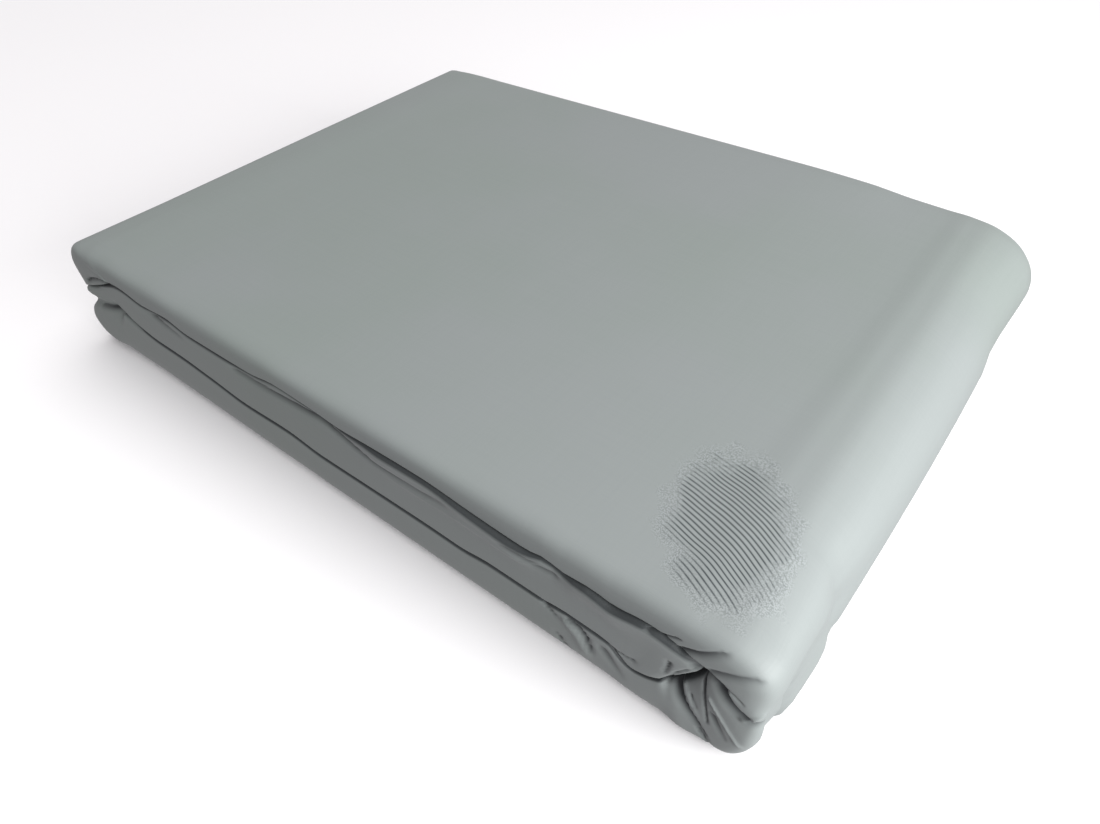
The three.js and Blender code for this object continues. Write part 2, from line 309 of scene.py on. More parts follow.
# Creases of the near side, as paths in X and Z. Each is a trough with a depth at its start and end
# and a width on each side of the path. A negative depth is a ridge. Roundness 1 is a sharp line.
NEAR_CREASES = (
    # the deep pocket under the edge of the wrap, and the pleat that runs on from it
    Crease(
        (
            (149.4, 44.0),
            (152.4, 43.4),
            (155.4, 42.4),
            (156.8, 39.4),
            (158.6, 37.0),
            (161.4, 35.0),
            (164.6, 33.4),
        ),
        4.2,
        1.6,
        0.7,
        6.0,
    ),
    Crease(((156.6, 41.8), (158.8, 40.8), (161.2, 39.2)), 1.5, 0.5, 0.6, 1.4),
    # the pleats of the fan
    Crease(((142.6, 26.6), (144.9, 20.8), (147.6, 16.8), (150.2, 13.8), (153.6, 9.0)), 3.0, 1.0, 0.7, 4.5),
    Crease(((143.8, 27.6), (146.6, 21.6), (149.8, 17.0)), -0.7, -0.3, 1.6, 0.8),
    Crease(((147.2, 24.6), (149.2, 20.8)), 0.9, 0.4, 0.6, 1.2),
    Crease(((149.7, 38.4), (150.8, 31.6), (152.0, 24.6), (153.4, 17.2)), 1.9, 0.8, 0.6, 1.4),
    Crease(((152.4, 31.0), (157.0, 25.0), (163.4, 15.6)), -0.7, -0.6, 1.7, 1.0),
    Crease(((154.6, 23.4), (158.8, 15.6)), 0.9, 0.3, 1.4, 2.4, 2),
    Crease(((162.2, 30.9), (164.6, 33.2), (167.1, 36.3)), -0.7, -1.0, 1.6, 1.2),
    # the leaf of cloth at the middle band's end, and the crease beside it
    Crease(((140.6, 29.8), (142.0, 33.4), (143.7, 36.6), (146.2, 39.6), (149.0, 42.2)), 1.1, 0.7, 0.5, 0.8),
    Crease(
        ((138.8, 24.0), (140.4, 25.8), (143.3, 29.6), (146.1, 34.7), (148.4, 39.2), (149.8, 42.0)),
        2.4,
        2.6,
        0.6,
        2.6,
    ),
    Crease(((140.2, 37.4), (139.7, 33.4), (139.0, 30.2)), 1.3, 0.5, 0.7, 1.6),
    # the small flap above the seam
    Crease(((120.4, 24.8), (125.7, 24.2), (130.4, 25.2)), 2.0, 1.0, 0.6, 0.9),
    # folds in the bottom band beside the fan
    Crease(((95.8, 23.8), (100.6, 21.2)), 2.0, 0.6, 0.8, 1.6),
    Crease(((106.4, 24.0), (109.6, 23.2), (112.0, 20.4), (113.8, 14.0)), 3.0, 0.8, 0.8, 3.4),
    Crease(((104.4, 21.6), (108.4, 17.6), (111.4, 10.6)), -1.0, -0.6, 2.4, 2.4, 2),
    Crease(((100.8, 10.2), (103.1, 4.6)), 1.4, 1.6, 0.8, 2.0),
    Crease(((118.6, 19.6), (122.0, 15.0), (124.6, 11.6)), 0.8, 0.2, 2.0, 3.0, 2),
    Crease(((151.0, 9.0), (153.8, 5.0), (155.6, 2.0)), 0.9, 0.9, 1.4, 1.8),
    # the line above the middle band runs on into the top band
    Crease(((132.4, 46.9), (135.6, 47.6), (138.4, 48.9), (141.5, 50.6)), 2.2, 1.4, 0.5, 1.0),
    # pockets of the middle band under the lip, and the edge that catches the light below them
    Crease(((-110.0, 45.4), (-101.0, 44.4), (-90.0, 42.8)), 1.4, 0.4, 1.2, 3.0),
    Crease(((-52.0, 43.6), (-40.0, 43.6), (-24.0, 44.8), (0.0, 46.6)), 0.8, 1.6, 1.2, 3.2),
    Crease(
        ((-2.0, 46.2), (8.0, 44.6), (23.0, 42.4), (34.0, 42.6), (46.0, 42.6), (58.0, 44.6)),
        1.8,
        0.6,
        1.2,
        3.0,
    ),
    Crease(((33.0, 39.4), (49.6, 39.9), (64.8, 41.4), (77.0, 40.5), (90.0, 40.9)), -0.6, -0.5, 1.4, 1.8, 2),
    Crease(((84.0, 44.2), (95.5, 43.2), (101.0, 43.6)), 1.2, 0.8, 1.0, 2.6),
    # folds of the left end
    Crease(((-168.0, 40.0), (-160.8, 43.6), (-152.7, 46.6), (-140.0, 48.2)), 1.8, 1.4, 0.8, 2.2),
    Crease(((-164.1, 27.8), (-154.0, 30.4), (-142.2, 34.3)), 0.8, 1.8, 1.0, 3.4),
    Crease(((-142.0, 33.2), (-136.4, 31.0), (-130.5, 29.4)), 1.8, 0.6, 1.0, 3.2),
)

# Folds where the top turns down to the near side, as paths in X and half-way between Y and Z.
EDGE_CREASES = (
    Crease(((142.6, -52.9), (147.2, -51.0), (152.9, -47.2)), 1.5, 0.7, 0.7, 3.0),
    Crease(((151.3, -54.2), (156.2, -52.0), (162.7, -49.2)), 1.1, 0.6, 0.9, 3.0),
)

# Pinches and swells of the roll's outer side, as paths in Y and Z.
ROLL_CREASES = (
    Crease(((-109, -4), (-111, 14), (-113, 30)), 6.4, 2.6, 7, 7, 2),
    Crease(((-98, 6), (-76, 16)), -3.7, -2.0, 18, 18, 2),
    Crease(((-79, 44), (-78, 20)), 1.7, 2.3, 18, 9, 1.3),
    Crease(((76, 16), (76, 46)), 1.5, 1.6, 18, 18, 2),
    Crease(((120, 20), (120, 50)), -1.4, -1.9, 16, 16, 2),
)

# A soft dip of the top by the far right corner, as a path in X and Y.
TOP_CREASES = (Crease(((116, 128), (158, 122)), 1.0, 1.0, 24, 24, 2),)

# Places between which the creases fade: X at the roll, height on the top and on the folds at its edge,
# Y behind the near face, and height up the near side.
ROLL_FADE = (138, 160)
TOP_FADE = (20, HEIGHT - 6)
EDGE_FADE = (40, 44)
NEAR_FADE = (NEAR_FACE + 14, NEAR_FACE + 40)
SIDE_FADE = (52, 56)

# The right end lies loose: where this begins and is full, and how much more the far edge hangs there.
LOOSE_END = (60, 160)
LOOSE_DROOP = 1.45

# Places with small folds: a box around each and how long the edges of the skin may be there.
Zone = namedtuple("Zone", "low high step")
FINE_ZONES = (
    Zone((94, NEAR_FACE - 6, -1), (172, -108, HEIGHT - 1), 1.6),
    Zone((132, NEAR_FACE - 6, 2), (170, -106, HEIGHT), 0.75),
    Zone((-190, NEAR_FACE - 6, 14), (-126, -112, 52), 1.1),
)
ZONE_PASSES = 3


def smoothly(at, values, places, keep=True):
    """Values at new places on a smooth curve through the rows. With keep it never overshoots."""
    at = np.asarray(at, float)
    values = np.asarray(values, float)
    flat = values.reshape(len(at), -1)
    step = np.diff(at)[:, None]
    slope = np.diff(flat, axis=0) / step
    tangent = np.empty_like(flat)
    tangent[0], tangent[-1] = slope[0], slope[-1]
    before, after = slope[:-1], slope[1:]
    if keep:
        product = before * after
        total = np.where(product > 0, before + after, 1)
        tangent[1:-1] = np.where(product > 0, 2 * product / total, 0)
    else:
        tangent[1:-1] = (before * step[1:] + after * step[:-1]) / (step[1:] + step[:-1])
    i = np.clip(np.searchsorted(at, places, "right") - 1, 0, len(at) - 2)
    h = step[i]
    t = np.clip((np.asarray(places)[:, None] - at[i][:, None]) / h, 0, 1)
    result = (
        flat[i] * (2 * t**3 - 3 * t**2 + 1)
        + flat[i + 1] * (3 * t**2 - 2 * t**3)
        + tangent[i] * h * (t**3 - 2 * t**2 + t)
        + tangent[i + 1] * h * (t**3 - t**2)
    )
    return result.reshape((len(i),) + values.shape[1:])


def look_up(columns, place):
    """The second column of a table at one place in its first column."""
    return float(smoothly(columns[0], columns[1], [place])[0])


def smoothstep(value, low, high):
    """0 below low, 1 above high and smooth in between."""
    t = np.clip((value - low) / (high - low), 0, 1)
    return t * t * (3 - 2 * t)


def turn_point(turn, radius, degrees):
    """X and Z of a point on a circle round the middle of a turn."""
    angle = math.radians(degrees)
    return (turn.x + radius * math.cos(angle), turn.z + radius * math.sin(angle))


def along_band(start, end):
    """X of the rows that shape the straight part of a band."""
    return np.linspace(start, end, round(abs(end - start) / CONTROL_STEP) + 1)


def mid_rows():
    """The middle band, from its slanted end in the right turn to the left turn."""
    rows = [
        Row(
            "mid",
            (in_x, in_z),
            (out_x, out_z),
            (core_x, MID_LOW),
            (core_x + MID_SLANT, MID_HIGH),
            push,
            under,
            FINE_STEP,
        )
        for in_x, in_z, out_x, out_z, core_x, push, under in MID_END
    ]
    for x in along_band(MID_STOP, LEFT_STOP):
        low, high = look_up(SEAM, x) + SEAM_GAP, look_up(LIP_EDGE, x) - LIP_GAP
        under = look_up(UNDER_LIP, x)
        rows.append(Row("mid", (x, low), (x, high), (x, MID_LOW), (x, MID_HIGH), 0, under, BAND_STEP))
    return rows


def left_fan_rows():
    """The left turn, from the middle band to the bottom one."""
    return [
        Row(
            kind,
            turn_point(LEFT_PIVOT, LEFT_PIVOT.inner, angle),
            (out_x, out_z),
            turn_point(LEFT_TURN, LEFT_TURN.inner, angle),
            turn_point(LEFT_TURN, LEFT_TURN.outer, angle),
            push,
            0,
            TURN_STEP,
        )
        for kind, angle, out_x, out_z, push in LEFT_FAN
    ]


def low_rows():
    """The straight part of the bottom band."""
    return [
        Row(
            "low",
            (x, look_up(SEAM, x) - SEAM_GAP),
            (x, 0),
            (x, BAND_HEIGHT),
            (x, 0),
            0,
            0,
            BAND_STEP if x < FOLDS_FROM else FINE_STEP,
        )
        for x in along_band(LEFT_STOP, LOW_STOP)
    ]


def right_fan_rows():
    """The right turn over the whole height, from the bottom band to the top one."""
    return [
        Row(
            kind,
            (in_x, in_z),
            (out_x, out_z),
            turn_point(RIGHT_TURN, RIGHT_TURN.inner, angle),
            turn_point(RIGHT_TURN, RIGHT_TURN.outer, angle),
            push,
            0,
            FINE_STEP,
        )
        for kind, angle, in_x, in_z, out_x, out_z, push in RIGHT_FAN
    ]


def top_rows():
    """The straight part of the top band."""
    return [
        Row("lip", (x, look_up(LIP_EDGE, x)), (x, HEIGHT), (x, TOP_LOW), (x, HEIGHT), 0, 0, BAND_STEP)
        for x in along_band(TOP_STOP, LEFT_STOP)
    ]


def left_end_rows():
    """The end of the top band, turned down over the left turn."""
    return [
        Row(
            "lip" if angle <= 100 else "end",
            turn_point(END_PIVOT, END_PIVOT.inner, angle),
            (out_x, out_z),
            turn_point(END_CORE_PIVOT, END_CORE_PIVOT.inner, angle),
            (core_x, core_z),
            push,
            0,
            TURN_STEP,
        )
        for angle, out_x, out_z, push, core_x, core_z in LEFT_END
    ]


def fine_rows(rows):
    """The rows of the strip closer together, as arrays: points, kinds, pleats, and the way so far."""
    points = np.array([[*r.near_in, *r.near_out, *r.core_in, *r.core_out] for r in rows])
    kinds = np.array([[kind == r.kind for kind in KINDS] for r in rows], float)
    extra = np.array([[r.push, r.under] for r in rows])
    moves = np.diff(points, axis=0)
    near_way = np.hypot(moves[:, 2], moves[:, 3])
    core_way = np.hypot(moves[:, 6], moves[:, 7])
    at = np.concatenate([[0], np.cumsum(np.maximum(0.5 * (near_way + core_way), LEAST_WAY))])
    fine = [at[:1]]
    for i, row in enumerate(rows[:-1]):
        step = min(row.step, rows[i + 1].step)
        count = max(1, round(max(near_way[i], CORE_WAY * core_way[i]) / step))
        fine.append(np.linspace(at[i], at[i + 1], count + 1)[1:])
    fine = np.concatenate(fine)
    return (
        smoothly(at, points, fine, keep=False).reshape(-1, 4, 2),
        smoothly(at, kinds, fine),
        smoothly(at, extra, fine),
        fine,
    )


def layer(number):
    """Height of a layer as a share of the band: layer 1 is the outer one."""
    return 1 - (number - 1) / (LAYERS - 1)


def cloth_line():
    """The middle line of the cloth across a row, from the bottom layer's free edge to the third
    layer's: share of the height, places behind the near face by kind of row, push and under. The
    second result says which of them lie where the outer face of the pack shows."""
    nodes = []

    def add(behind, share):
        nodes.append((share, *(behind,) * len(KINDS), 0, 0))

    def far_fold(upper, lower):
        bend = BAND_HEIGHT / LAYERS / 2
        middle = (layer(upper) + layer(lower)) / 2
        for degrees in FAR_FOLD_ANGLES:
            angle = math.radians(degrees)
            add(
                DEPTH - bend + bend * math.cos(angle),
                middle - math.sin(angle) * (layer(upper) - layer(lower)) / 2,
            )

    def inner_fold(fold, upper, lower):
        fold = np.array(fold)
        at = np.arange(len(fold))
        for behind, share in smoothly(at, fold, np.linspace(0, len(fold) - 1, 2 * len(fold) - 1)):
            add(behind, layer(upper) + share * (layer(lower) - layer(upper)))

    def span(number, stops):
        for behind in stops:
            add(behind, layer(number))

    span(6, (DEPTH - HEM_INSET, *MIDDLE_STOPS[::-1], INNER_ZONE, INNER_STOP))
    first = len(nodes)
    flat = (SHOULDER,) * len(KINDS)
    shoulder = [(0, *flat, 0, 0), *NEAR_FOLD, (1, *flat, 0, 0)]
    at = np.arange(len(shoulder))
    stops = np.linspace(0, len(shoulder) - 1, SHOULDER_PLACES)
    nodes.extend(map(tuple, smoothly(at, shoulder, stops)))
    span(1, OUTER_PLACES[1:])
    last = len(nodes)
    far_fold(1, 2)
    span(2, (*MIDDLE_STOPS[::-1], INNER_ZONE))
    inner_fold(SECOND_FOLD, 2, 5)
    span(5, (INNER_ZONE, *MIDDLE_STOPS))
    far_fold(5, 4)
    span(4, (*MIDDLE_STOPS[::-1], INNER_ZONE))
    inner_fold(THIRD_FOLD, 4, 3)
    span(3, (INNER_ZONE, *MIDDLE_STOPS, DEPTH - HEM_INSET))
    seen = np.zeros(len(nodes), bool)
    seen[first:last] = True
    return np.array(nodes), seen


def unit(vectors):
    return vectors / np.linalg.norm(vectors, axis=-1, keepdims=True)


def folded_cloth(sizes):
    """Points of the folded cloth as rings, row by row, and where each lies on the cloth: across,
    along, and 0 where it is hidden, 1 on the outer side, up to 2 where a seam has painted shade. The
    third result says which places across the inner side keeps, for it has fewer points where it is hidden."""
    strip = [*mid_rows(), *left_fan_rows(), *low_rows(), *right_fan_rows(), *top_rows()]
    points, kinds, extra, along = fine_rows([*strip, *left_end_rows()])
    near_in, near_out, core_in, core_out = (points[:, i, None] for i in range(4))
    nodes, seen = cloth_line()
    behind = kinds @ nodes[:, 1:-2].T - extra[:, :1] * nodes[:, -2] + extra[:, 1:] * nodes[:, -1]
    grid = behind.shape

    share = smoothly(*NEAR_SHARE, behind.ravel()).reshape(grid)[..., None]
    inner = core_in + (near_in - core_in) * share
    outer = core_out + (near_out - core_out) * share
    height = np.linalg.norm(outer - inner, axis=-1)
    pitch = np.minimum(height, BAND_HEIGHT) / LAYERS
    cloth = pitch * smoothly(*CLOTH_SHARE, behind.ravel()).reshape(grid) * sizes.cloth_fullness
    cloth = np.maximum(cloth, CLOTH_LEAST)

    middle = np.stack([NEAR_FACE + behind, cloth / 2 + nodes[:, 0] * (height - cloth)], -1)
    way = unit(np.diff(middle, axis=1))
    normal = np.stack([-way[..., 1], way[..., 0]], -1)
    before = np.concatenate([normal[:, :1], normal], 1)
    after = np.concatenate([normal, normal[:, -1:]], 1)
    mitre = (before + after) / (1 + (before * after).sum(-1, keepdims=True))

    inside = np.flatnonzero(~seen | (np.arange(len(seen)) % HIDDEN_STEP == 0))
    sides = []
    for sign in (-1, 1):
        at = middle + mitre * sign * cloth[..., None] / 2
        up = np.clip(at[..., 1] / height, 0, 1)[..., None]
        flat = inner + (outer - inner) * up
        side = np.stack([flat[..., 0], at[..., 0], flat[..., 1]], -1)
        sides.append(side[:, inside] if sign < 0 else side[:, ::-1])
    ring = np.concatenate(sides, 1)

    across = np.concatenate([[0], np.cumsum(np.linalg.norm(np.diff(middle[0], axis=0), axis=1))])
    across = np.concatenate([across[inside], across[::-1]])
    # Painted shade along the seams: the edges of the bottom band, the fan and the middle band darken where
    # the bands meet.
    low_kinds = kinds[:, [KINDS.index("low")]] + kinds[:, [KINDS.index("fan")]]
    low_seam_shade = np.clip(1 - nodes[:, 0] / SEAM_SHADE_SHARE, 0, 1) * low_kinds
    mid_kinds = kinds[:, [KINDS.index("mid")]]
    high_seam_shade = np.clip(1 - (1 - nodes[:, 0]) / LIP_SEAM_SHADE_SHARE, 0, 1) * mid_kinds
    seen_and_seam_shade = seen * (1 + np.maximum(low_seam_shade, high_seam_shade))
    seen_and_seam_shade = np.concatenate([np.zeros((len(ring), len(inside))), seen_and_seam_shade[:, ::-1]], 1)
    place = np.stack(np.broadcast_arrays(across[None, :], along[:, None], seen_and_seam_shade), -1)
    return ring, place, inside


def loosen(p, sizes):
    """The bow of the roll and the droop of the far top edge, which grow towards the right end."""
    grow = smoothstep(p[..., 0], *LOOSE_END)
    across = (p[..., 1] - NEAR_FACE) / DEPTH
    p[..., 0] += sizes.roll_bow / MM * grow * 4 * across * (1 - across)
    droop = sizes.far_droop / MM * (1 + LOOSE_DROOP * grow)
    p[..., 2] -= droop * across * across * p[..., 2] / HEIGHT


def beside_path(flat, path):
    """Distance of points to a path, its sign by the side, and how far along the path they are."""
    path = np.array(path, float)
    lengths = np.linalg.norm(np.diff(path, axis=0), axis=1)
    done = np.concatenate([[0], np.cumsum(lengths)]) / lengths.sum()
    best = np.full(flat.shape[:-1], np.inf)
    side, along = np.zeros_like(best), np.zeros_like(best)
    for i, length in enumerate(lengths):
        way = (path[i + 1] - path[i]) / length
        off = flat - path[i]
        t = np.clip(off @ way, 0, length)
        gap = np.linalg.norm(off - t[..., None] * way, axis=-1)
        turn = np.sign(way[0] * off[..., 1] - way[1] * off[..., 0])
        near = gap < best
        best = np.where(near, gap, best)
        side = np.where(near, turn, side)
        along = np.where(near, done[i] + t / length * (done[i + 1] - done[i]), along)
    return best, side, along


def press(p, side, creases, fade, depth):
    """Presses creases into the cloth, each point as much as its fade, and returns the painted shade
    they give each point, from 0 to 1, which stands in for the shadow deep in them."""
    move = np.zeros(len(p))
    painted_shade = np.zeros(len(p))
    flat = p @ np.array(side.axes, float).T
    for fold in creases:
        gap, turn, along = beside_path(flat, fold.path)
        width = np.where(turn > 0, fold.before, fold.after)
        profile = np.clip(1 - (gap / width) ** fold.roundness, 0, 1) ** 2
        deep = profile * (fold.start + (fold.end - fold.start) * along)
        move += deep
        # Painted shade: the deeper the trough, the darker its colour, in place of the shadow in it.
        painted_shade = np.maximum(painted_shade, np.clip(deep / FULL_SHADE_DEPTH, 0, 1) * fade)
    p += (move * fade * depth)[:, None] * side.push
    return painted_shade


def press_all(p, sizes):
    """Presses in all creases and returns the painted shade of the sharp ones for each point."""
    depth = sizes.crease_depth
    press(p, ROLL_SIDE, ROLL_CREASES, smoothstep(p[:, 0], *ROLL_FADE), depth)
    press(p, TOP_SIDE, TOP_CREASES, smoothstep(p[:, 2], *TOP_FADE), depth)
    near = 1 - smoothstep(p[:, 1], *NEAR_FADE)
    return np.maximum(
        press(p, NEAR_SIDE, NEAR_CREASES, near * (1 - smoothstep(p[:, 2], *SIDE_FADE)), depth),
        press(p, EDGE_SIDE, EDGE_CREASES, near * smoothstep(p[:, 2], *EDGE_FADE), depth),
    )


def strip_faces(rows, count, inside):
    """Quads of the closed skin: the strip itself and a cap on each free end."""
    r, i = np.meshgrid(np.arange(rows - 1), np.arange(count), indexing="ij")
    a, b = r * count + i, r * count + (i + 1) % count
    faces = np.stack([a, a + count, b + count, b], -1).reshape(-1, 4).tolist()
    end = (rows - 1) * count
    inner = np.searchsorted(inside, np.arange(count - len(inside)), "right") - 1
    for k in range(len(inner) - 1):
        low, high = int(inner[k]), int(inner[k + 1])
        cap = [low, *([high] if high > low else []), count - 2 - k, count - 1 - k]
        faces.append(cap)
        faces.append([corner + end for corner in cap[::-1]])
    return faces


def refine(mesh):
    """Splits the long edges of the skin where the small folds are."""
    model = bmesh.new()
    model.from_mesh(mesh)
    place = model.verts.layers.float_vector[PLACE]
    for zone in FINE_ZONES:
        for _ in range(ZONE_PASSES):
            inside = {
                v
                for v in model.verts
                if v[place].z > 0.5 and all(a < c < b for a, c, b in zip(zone.low, v.co, zone.high))
            }
            long = [
                e
                for e in model.edges
                if e.calc_length() > zone.step and e.verts[0] in inside and e.verts[1] in inside
            ]
            bmesh.ops.subdivide_edges(model, edges=long, cuts=1, use_grid_fill=True)
    model.to_mesh(mesh)
    model.free()


def make_cloth(name, sizes):
    """The folded cloth as an object. In the end the third part of a point's place is its painted shade,
    from the creases and the seams.
    """
    ring, place, inside = folded_cloth(sizes)
    loosen(ring, sizes)
    rows, count = ring.shape[:2]
    mesh = bpy.data.meshes.new(name)
    mesh.from_pydata(ring.reshape(-1, 3).tolist(), [], strip_faces(rows, count, inside))
    attribute = mesh.attributes.new(PLACE, "FLOAT_VECTOR", "POINT")
    attribute.data.foreach_set("vector", place.astype(np.float32).ravel())
    refine(mesh)

    points = np.empty(3 * len(mesh.vertices))
    mesh.vertices.foreach_get("co", points)
    points = points.reshape(-1, 3)
    painted_shade = press_all(points, sizes)
    points[:, 2] = np.maximum(points[:, 2], 0)
    place = np.empty(len(points) * 3, np.float32)
    attribute = mesh.attributes[PLACE].data
    attribute.foreach_get("vector", place)
    place = place.reshape(-1, 3)
    # Painted shade of the seams, from folded_cloth, and of the creases, from press_all, goes into the third
    # part of the place.
    place[:, 2] = np.maximum(2 * (place[:, 2] - 1), painted_shade).clip(0, 1)
    attribute.foreach_set("vector", place.ravel())
    mesh.vertices.foreach_set("co", ((points + CENTRE) * MM).ravel())
    mesh.validate()
    mesh.shade_smooth()
    cloth = bpy.data.objects.new(name, mesh)
    bpy.context.scene.collection.objects.link(cloth)
    return cloth


class Value:
    """A number or colour that varies over a surface, with ordinary arithmetic for numbers."""

    def __init__(self, finish, socket):
        self.finish = finish
        self.socket = socket

    def maths(self, operation, *values):
        return self.finish.node("ShaderNodeMath", {"operation": operation}, dict(enumerate(values)))

    def __add__(self, other):
        return self.maths("ADD", self, other)

    def __sub__(self, other):
        return self.maths("SUBTRACT", self, other)

    def __rsub__(self, other):
        return self.maths("SUBTRACT", other, self)

    def __mul__(self, other):
        return self.maths("MULTIPLY", self, other)

    def __truediv__(self, other):
        return self.maths("DIVIDE", self, other)

    def __pow__(self, other):
        return self.maths("POWER", self, other)

    def sine(self):
        return self.maths("SINE", self)


class Finish:
    """The nodes of one material."""

    def __init__(self, name):
        self.material = bpy.data.materials.new(name)
        self.material.use_nodes = True
        self.tree = self.material.node_tree
        self.tree.nodes.clear()

    def node(self, kind, settings=None, values=None, output=0):
        """Adds a node with its settings, then its values or links, and returns one output."""
        node = self.tree.nodes.new(kind)
        for setting, value in (settings or {}).items():
            setattr(node, setting, value)
        for name, value in (values or {}).items():
            if isinstance(value, Value):
                self.tree.links.new(value.socket, node.inputs[name])
            else:
                node.inputs[name].default_value = value
        return Value(self, node.outputs[output]) if len(node.outputs) else None

    def parts(self, vector):
        split = self.node("ShaderNodeSeparateXYZ", values={0: vector})
        return [Value(self, socket) for socket in split.socket.node.outputs]

    def vector(self, x, y, z=0.0):
        return self.node("ShaderNodeCombineXYZ", values={0: x, 1: y, 2: z})

    def noise(self, vector, scale, detail=2.0):
        values = {"Vector": vector, "Scale": scale, "Detail": detail, "Roughness": 0.5}
        return self.node("ShaderNodeTexNoise", values=values)

    def mix(self, share, first, second):
        """The first colour with a share of the second."""
        settings = {"data_type": "RGBA"}
        return self.node("ShaderNodeMix", settings, {0: share, 6: first, 7: second}, output=2)

    def steps(self, value, start, end):
        """0 on the near side of start, 1 beyond end and smooth in between. The end may be the lower."""
        values = {0: value, 1: start, 2: end}
        return self.node("ShaderNodeMapRange", {"interpolation_type": "SMOOTHSTEP"}, values)

    def shade(self, values):
        shader = self.node("ShaderNodeBsdfPrincipled", values=values)
        self.node("ShaderNodeOutputMaterial", values={"Surface": shader})
        return self.material


# Slubs: waves to a millimetre along and across a thread, and how much of the thread colour they take.
# All scales are waves to a metre.
SLUB_LONG = 0.03
SLUB_SHORT = 1.1
SLUB_SWING = 0.16
SLUB_MEAN = 0.08
CLOUD_SCALE = 9.0
CLOUD_STEPS = (0.35, 0.68)
CLOUD_ROUGHNESS = 0.1

# Place, half lengths and turn of the patch on the top where fine dark lines show, in millimetres. Its
# outline is ragged. It fades in between the two heights TOP_STEPS, in metres.
PATCH_PLACE = (144.2, -87.2)
PATCH_HALF = (28.8, 18.8)
PATCH_TURN = math.radians(-62)
PATCH_STEPS = (0.35, 1.05)
RAGGED_SCALE = 160.0
RAGGED_REACH = 1.3
TOP_STEPS = (0.05, 0.054)

# Turn, spacing, bend, sway and sharpness of the lines.
LINE_TURN = math.radians(-20)
LINE_PITCH = 1.5
LINE_BEND = 0.003
LINE_SWAY = 1.6
LINE_SHARPNESS = 3.5
SWAY_SCALE = 55.0

# Specks, pale and dark ones, in a ring round the middle of the patch.
RIM_OUTER_STEPS = (0.9, 1.35)
RIM_INNER_STEPS = (0.3, 0.9)
DOT_SCALE = 2400.0
PALE_DOT_STEPS = (0.52, 0.62)
PALE_DOT_SHARE = 0.3
DARK_DOT_STEPS = (0.46, 0.4)
DARK_DOT_SHARE = 0.22

# Height of the fine relief in millimetres, and how strongly it shows.
THREAD_RELIEF = 0.004
SLUB_RELIEF = 0.02
LINE_RELIEF = 0.05
RELIEF_STRENGTH = 0.6

FLOOR_CLOUD_SCALE = 3.0
FLOOR_CLOUD_SHADE = 0.99


def satin_finish(looks):
    """Smooth satiny cloth: a very fine weave, soft slubs, slight clouding, the patch of fine lines, and
    the painted shade of the creases and seams."""
    finish = Finish("satin_cloth")
    # deep is the painted shade of the creases and seams, read from the cloth's attribute.
    across, along, deep = finish.parts(
        finish.node("ShaderNodeAttribute", {"attribute_name": PLACE}, output="Vector")
    )
    place = finish.node("ShaderNodeTexCoord", output="Object")
    x, y, z = finish.parts(place)

    wave = 2 * math.pi / (looks.thread_pitch / MM)
    threads = (across * wave).sine() + (along * wave).sine()
    slubs = finish.noise(finish.vector(across * SLUB_LONG, along * SLUB_SHORT), 1.0) + finish.noise(
        finish.vector(across * SLUB_SHORT, along * SLUB_LONG), 1.0
    )
    clouds = finish.noise(place, CLOUD_SCALE, detail=3.0)

    px, py = x / MM - PATCH_PLACE[0], y / MM - PATCH_PLACE[1]
    cos, sin = math.cos(PATCH_TURN), math.sin(PATCH_TURN)
    long_way = (px * cos + py * sin) / PATCH_HALF[0]
    short_way = (py * cos - px * sin) / PATCH_HALF[1]
    ragged = finish.noise(place, RAGGED_SCALE, detail=3.0)
    reach = long_way**2 + short_way**2 + (ragged - 0.5) * RAGGED_REACH
    on_top = finish.steps(z, *TOP_STEPS)
    patch = (1 - finish.steps(reach, *PATCH_STEPS)) * on_top
    rim = (1 - finish.steps(reach, *RIM_OUTER_STEPS)) * finish.steps(reach, *RIM_INNER_STEPS) * on_top
    dots = finish.noise(place, DOT_SCALE, detail=0.0)

    sway = finish.noise(place, SWAY_SCALE, detail=1.0)
    cos, sin = math.cos(LINE_TURN), math.sin(LINE_TURN)
    ahead = px * cos + py * sin
    lines_at = (py * cos - px * sin) / LINE_PITCH
    lines_at = lines_at + sway * LINE_SWAY + ahead**2 * LINE_BEND
    lines = ((lines_at * (2 * math.pi)).sine() * 0.5 + 0.5) ** LINE_SHARPNESS

    patch_colour = (*looks.patch_colour, 1)
    pale_dots = rim * finish.steps(dots, *PALE_DOT_STEPS) * PALE_DOT_SHARE
    dark_dots = rim * finish.steps(dots, *DARK_DOT_STEPS) * DARK_DOT_SHARE
    cloth = (*looks.cloth_colour, 1)
    cloth = finish.mix(finish.steps(clouds, *CLOUD_STEPS), cloth, (*looks.cloud_colour, 1))
    cloth = finish.mix((slubs - 1) * SLUB_SWING + SLUB_MEAN, cloth, (*looks.thread_colour, 1))
    cloth = finish.mix(patch * lines * looks.patch_depth, cloth, patch_colour)
    cloth = finish.mix(pale_dots, cloth, (*looks.speck_colour, 1))
    cloth = finish.mix(dark_dots, cloth, patch_colour)
    # Painted shade: deep creases and seams take a near-black colour in place of their shadow.
    cloth = finish.mix(deep * looks.crease_shade, cloth, (*looks.crease_shade_colour, 1))

    height = threads * THREAD_RELIEF + slubs * SLUB_RELIEF - patch * lines * LINE_RELIEF
    values = {"Height": height, "Distance": MM, "Strength": RELIEF_STRENGTH}
    normal = finish.node("ShaderNodeBump", values=values)
    return finish.shade(
        {
            "Base Color": cloth,
            "Roughness": clouds * CLOUD_ROUGHNESS + (looks.roughness - CLOUD_ROUGHNESS / 2),
            "Specular IOR Level": 0.35,
            "Sheen Weight": looks.sheen,
            "Sheen Roughness": 0.35,
            "Normal": normal,
        }
    )


